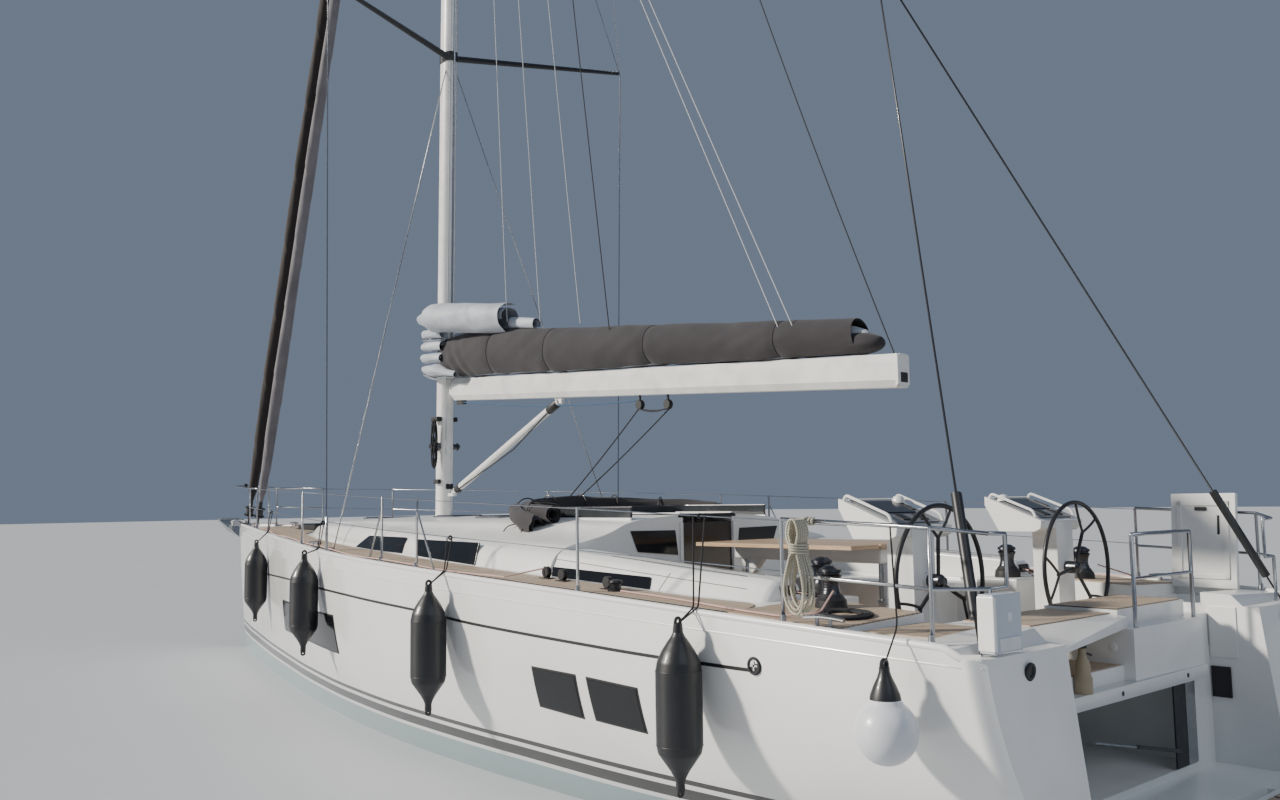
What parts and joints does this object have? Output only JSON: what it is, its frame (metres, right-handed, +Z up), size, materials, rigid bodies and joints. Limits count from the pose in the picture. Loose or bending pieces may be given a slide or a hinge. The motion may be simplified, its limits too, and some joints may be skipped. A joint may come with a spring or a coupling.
{
  "type": "sailing yacht",
  "caption": "Cruising sailing yacht with a fin keel, open stern, twin wheels, folded-down bathing platform and a sloop rig with its sails stowed.",
  "frame": {"origin": "on the waterline, on the centreline, at the middle of the hull's length", "axes": "+X towards the bow, +Y to port, +Z up along the mast"},
  "size_m": [17.792, 5.2846, 27.095],
  "materials": {
    "gelcoat": "gloss",
    "moulding": "satin",
    "seat_moulding": "matt",
    "smoked_glass": "gloss",
    "clear_screen": "gloss",
    "teak": "matt",
    "stainless": "polished",
    "galvanised": "satin",
    "spar_paint": "gloss",
    "black_alloy": "satin",
    "canvas": "matt",
    "cast_iron": "matt",
    "antifouling": "matt",
    "bronze": "satin",
    "fender_vinyl": "satin",
    "buoy_vinyl": "satin"
  },
  "bodies": {
    "hull_body": {"hull": "gelcoat", "coachroof": "moulding", "coachroof_window_forward_port": "smoked_glass", "coachroof_window_forward_starboard": "smoked_glass", "coachroof_window_aft_port": "smoked_glass", "coachroof_window_aft_starboard": "smoked_glass", "coaming_port": "moulding", "coaming_starboard": "moulding", "cockpit_bench_port": "seat_moulding", "cockpit_bench_starboard": "seat_moulding", "cockpit_table": "teak", "helm_console_port": "moulding", "helm_console_starboard": "moulding", "winch_port": "stainless", "winch_starboard": "stainless", "windscreen": "clear_screen", "folded_sprayhood": "canvas", "aft_locker": "moulding", "guard_rail_port": "stainless", "guard_rail_starboard": "stainless", "pulpit": "stainless", "pushpit_port": "stainless", "pushpit_starboard": "stainless", "stern_rail": "stainless", "rescue_case": "moulding", "bow_roller": "stainless", "anchor": "galvanised", "mast": "spar_paint", "spreaders_lower": "black_alloy", "spreaders_upper": "black_alloy", "shrouds_port": "stainless", "shrouds_starboard": "stainless", "backstay": "black_alloy", "furled_headsail_front": "canvas", "furled_headsail_aft": "canvas", "keel_fin": "cast_iron", "keel_bulb": "cast_iron", "saildrive": "antifouling", "fender_1": "fender_vinyl", "fender_2": "fender_vinyl", "fender_3": "fender_vinyl", "fender_4": "fender_vinyl", "fender_5": "buoy_vinyl", "deck_hatch_frame": "black_alloy"},
    "boom_gear": {"boom": "spar_paint", "kicker": "spar_paint", "sail_cover": "canvas"},
    "rudder": {"rudder": "antifouling"},
    "steering_wheel_port": {"steering_wheel_port": "black_alloy"},
    "steering_wheel_starboard": {"steering_wheel_starboard": "black_alloy"},
    "propeller": {"propeller": "bronze"},
    "companionway_hatch": {"companionway_hatch": "smoked_glass"},
    "companionway_washboard": {"companionway_washboard": "smoked_glass"},
    "table_leaf_port": {"table_leaf_port": "teak"},
    "table_leaf_starboard": {"table_leaf_starboard": "teak"},
    "bridge_seat": {"bridge_seat": "teak"},
    "quarter_lid_port": {"quarter_lid_port": "moulding"},
    "quarter_lid_starboard": {"quarter_lid_starboard": "moulding"},
    "bathing_platform": {"bathing_platform": "teak"},
    "deck_hatch_lid": {"deck_hatch_lid": "smoked_glass"}
  },
  "joints": [
    {"name": "boom_swing", "type": "hinge", "parent": "hull_body", "child": "boom_gear", "pos_m": [1.1, 0, 3.8], "axis": [0, 0, 1], "range_deg": [-60, 60]},
    {"name": "rudder_turn", "type": "hinge", "parent": "hull_body", "child": "rudder", "pos_m": [-6.55, 0, -0.2], "axis": [0, 0, 1], "range_deg": [-35, 35]},
    {"name": "wheel_turn_port", "type": "hinge", "parent": "hull_body", "child": "steering_wheel_port", "pos_m": [-6.65, 0.95, 1.79], "axis": [1, 0, 0], "range_deg": [-350, 350]},
    {"name": "wheel_turn_starboard", "type": "hinge", "parent": "hull_body", "child": "steering_wheel_starboard", "pos_m": [-6.65, -0.95, 1.79], "axis": [1, 0, 0], "range_deg": [-350, 350]},
    {"name": "propeller_spin", "type": "hinge", "parent": "hull_body", "child": "propeller", "pos_m": [-2.715, 0, -1.12], "axis": [1, 0, 0], "continuous": true},
    {"name": "hatch_slide", "type": "slide", "parent": "hull_body", "child": "companionway_hatch", "axis": [1, 0, 0], "range_m": [0, 0.6]},
    {"name": "washboard_drop", "type": "slide", "parent": "hull_body", "child": "companionway_washboard", "axis": [0, 0, -1], "range_m": [0, 0.69]},
    {"name": "leaf_drop_port", "type": "hinge", "parent": "hull_body", "child": "table_leaf_port", "pos_m": [-4.7, 0.197, 1.958], "axis": [-1, 0, 0], "range_deg": [0, 90]},
    {"name": "leaf_drop_starboard", "type": "hinge", "parent": "hull_body", "child": "table_leaf_starboard", "pos_m": [-4.7, -0.197, 1.958], "axis": [1, 0, 0], "range_deg": [0, 90]},
    {"name": "seat_lift", "type": "hinge", "parent": "hull_body", "child": "bridge_seat", "pos_m": [-7.52, 1.443, 1.54], "axis": [-1, 0, 0], "range_deg": [0, 90]},
    {"name": "lid_lift_port", "type": "hinge", "parent": "hull_body", "child": "quarter_lid_port", "pos_m": [-7.135, 2.25, 1.5668], "axis": [-1, 0, 0], "range_deg": [0, 90]},
    {"name": "lid_close_starboard", "type": "hinge", "parent": "hull_body", "child": "quarter_lid_starboard", "pos_m": [-7.135, -2.25, 1.5668], "axis": [-1, 0, 0], "range_deg": [0, 95]},
    {"name": "platform_lift", "type": "hinge", "parent": "hull_body", "child": "bathing_platform", "pos_m": [-8.012, 0, 0.29], "axis": [0, 1, 0], "range_deg": [0, 90]},
    {"name": "deck_hatch_lift", "type": "hinge", "parent": "hull_body", "child": "deck_hatch_lid", "pos_m": [5.06, 0, 2.0753], "axis": [0, 1, 0], "range_deg": [0, 80]}
  ],
  "couplings": [
    {"joint": "wheel_turn_port", "follows": "rudder_turn", "ratio": 10},
    {"joint": "wheel_turn_starboard", "follows": "rudder_turn", "ratio": 10}
  ]
}
